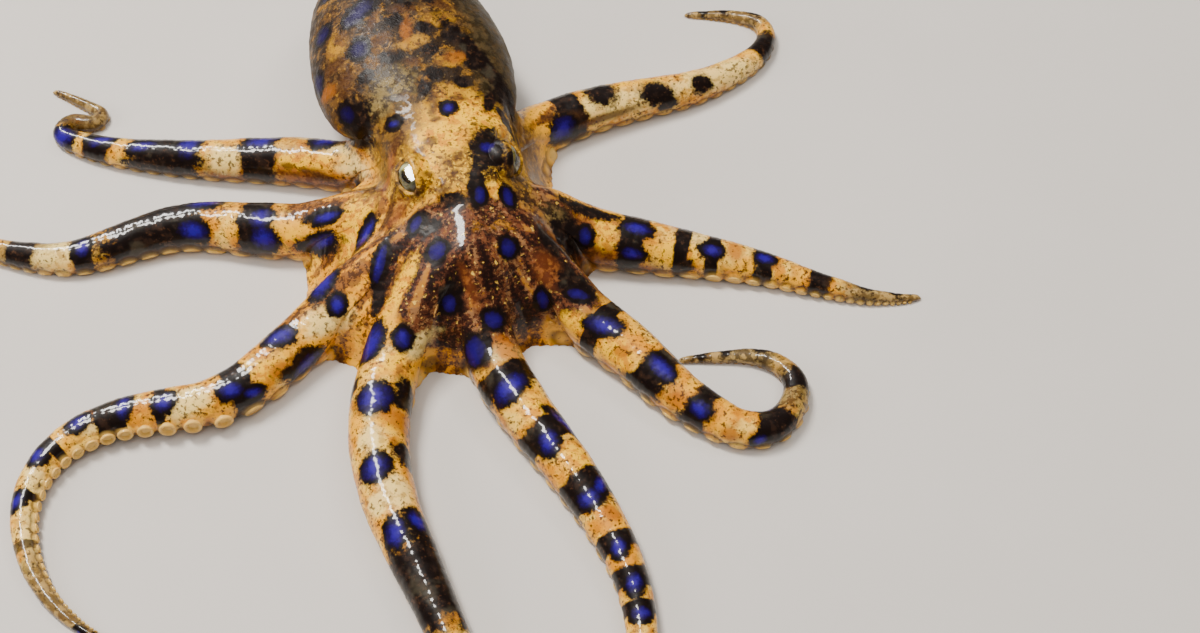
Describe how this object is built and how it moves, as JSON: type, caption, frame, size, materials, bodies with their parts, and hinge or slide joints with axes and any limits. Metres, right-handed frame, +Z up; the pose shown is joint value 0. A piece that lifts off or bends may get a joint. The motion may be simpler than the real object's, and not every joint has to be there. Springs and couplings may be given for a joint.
{
  "type": "octopus",
  "caption": "Life-size blue ringed octopus lying flat, arms spread and curling, with a webbed crown, a low head with raised eyes, a pouch-like mantle and a short funnel.",
  "frame": {"origin": "on the floor under the mouth, in the flat underside of the webbed crown", "axes": "-Y the way the head faces, +Y along the mantle, +X the animal's left, +Z up"},
  "size_m": [0.1546, 0.1556, 0.0222],
  "materials": {
    "skin": "wet, smooth and glossy over fine wrinkles, cream to golden with dark bands and blue spots",
    "eye": "polished, wet"
  },
  "bodies": {
    "root": {"crown": "skin", "head": "skin", "mantle": "skin", "funnel": "skin", "arm_left_1_root": "skin", "arm_left_1_middle": "skin", "arm_left_1_outer": "skin", "arm_left_1_tip": "skin", "arm_left_2_root": "skin", "arm_left_2_middle": "skin", "arm_left_2_outer": "skin", "arm_left_2_tip": "skin", "arm_left_3_root": "skin", "arm_left_3_middle": "skin", "arm_left_3_outer": "skin", "arm_left_3_tip": "skin", "arm_left_4_root": "skin", "arm_left_4_middle": "skin", "arm_left_4_outer": "skin", "arm_left_4_tip": "skin", "arm_right_1_root": "skin", "arm_right_1_middle": "skin", "arm_right_1_outer": "skin", "arm_right_1_tip": "skin", "arm_right_2_root": "skin", "arm_right_2_middle": "skin", "arm_right_2_outer": "skin", "arm_right_2_tip": "skin", "arm_right_3_root": "skin", "arm_right_3_middle": "skin", "arm_right_3_outer": "skin", "arm_right_3_tip": "skin", "arm_right_4_root": "skin", "arm_right_4_middle": "skin", "arm_right_4_outer": "skin", "arm_right_4_tip": "skin", "eye_left": "eye", "eye_right": "eye"}
  },
  "joints": []
}
